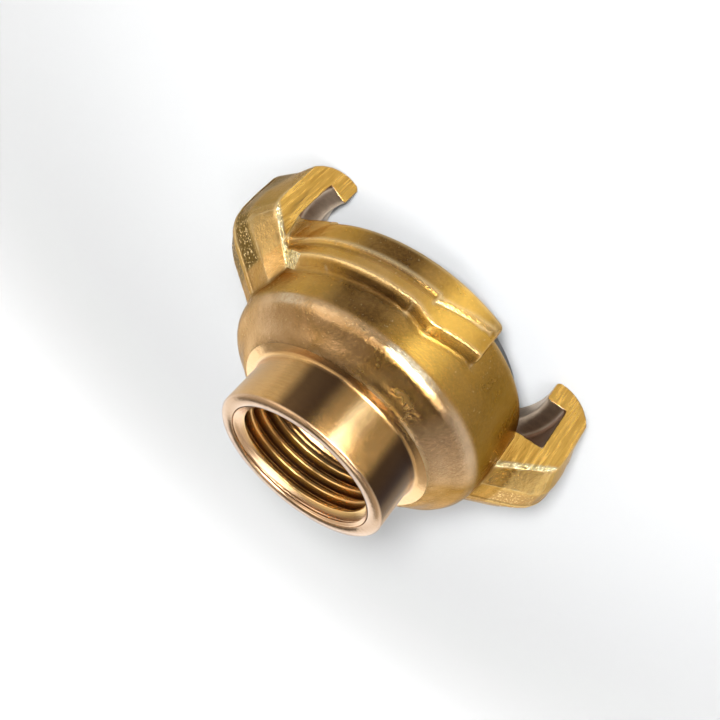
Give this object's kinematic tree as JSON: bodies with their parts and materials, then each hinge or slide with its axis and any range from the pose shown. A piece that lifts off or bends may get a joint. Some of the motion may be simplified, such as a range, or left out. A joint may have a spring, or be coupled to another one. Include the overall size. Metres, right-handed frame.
{
  "type": "claw coupling",
  "caption": "Brass claw coupling half for hoses and pipes: threaded socket, bell body, hooked claws, ramped flange sectors and a rubber face seal.",
  "frame": {"origin": "centre of the bounding box at its bottom, on the coupling's axis, level with the claw tips it stands on", "axes": "+Z along the coupling's axis, out of the threaded socket's mouth; +X from the axis through the middle of one claw"},
  "size_m": [0.0576, 0.043, 0.0328],
  "materials": {
    "body": "forged matte brass with turned satin bands",
    "seal": "matt black rubber"
  },
  "bodies": {
    "root": {"coupling_body": "body", "seal_ring": "seal"}
  },
  "joints": []
}
